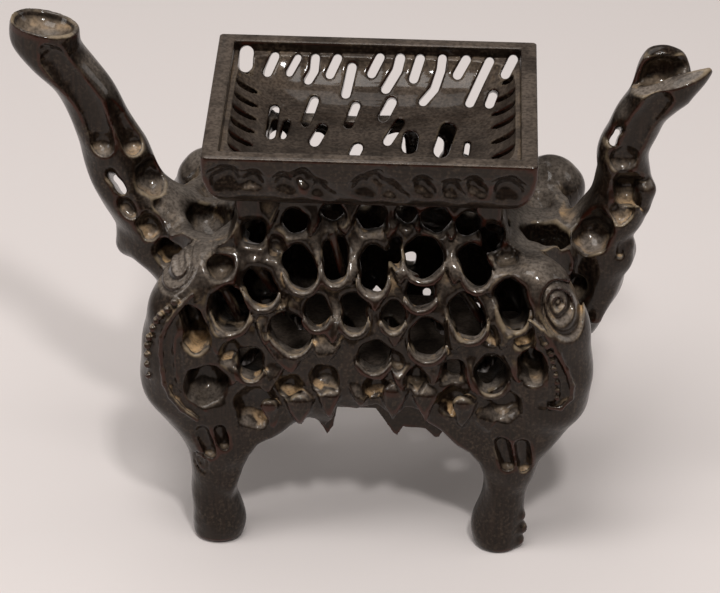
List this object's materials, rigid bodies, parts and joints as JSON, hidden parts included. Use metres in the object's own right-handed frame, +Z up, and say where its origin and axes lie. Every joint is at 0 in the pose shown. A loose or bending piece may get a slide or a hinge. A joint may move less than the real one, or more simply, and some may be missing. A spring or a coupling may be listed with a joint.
{
  "type": "incense burner",
  "caption": "Carved openwork hardwood incense burner with a pierced lift-off tray, cabriole legs and two branch handles.",
  "frame": {"origin": "bottom centre of the bounding box, on the surface that the feet stand on", "axes": "+X across the width from the tall cut-branch handle to the split-branch handle, +Y from the front panel to the rear panel, +Z up"},
  "size_m": [0.17, 0.0732, 0.129],
  "materials": {
    "carved_hardwood": "dark stained tropical hardwood, polished, with worn reddish edges and dust in the hollows",
    "dowel_wood": "plain turned dowel, unfinished"
  },
  "bodies": {
    "body": {"front_panel": "carved_hardwood", "rear_panel": "carved_hardwood", "left_shoulder": "carved_hardwood", "right_shoulder": "carved_hardwood", "floor_panel": "carved_hardwood", "leg_front_left": "carved_hardwood", "leg_front_right": "carved_hardwood", "leg_rear_left": "carved_hardwood", "leg_rear_right": "carved_hardwood", "handle_left": "carved_hardwood", "handle_right": "carved_hardwood", "panel_dowels": "dowel_wood", "side_dowels": "dowel_wood", "handle_dowels": "dowel_wood", "floor_pins": "dowel_wood"},
    "tray": {"tray": "carved_hardwood", "tray_pegs": "dowel_wood"}
  },
  "joints": [
    {"name": "tray_lift", "type": "slide", "parent": "body", "child": "tray", "axis": [0, 0, 1], "range_m": [0, 0.06]}
  ]
}
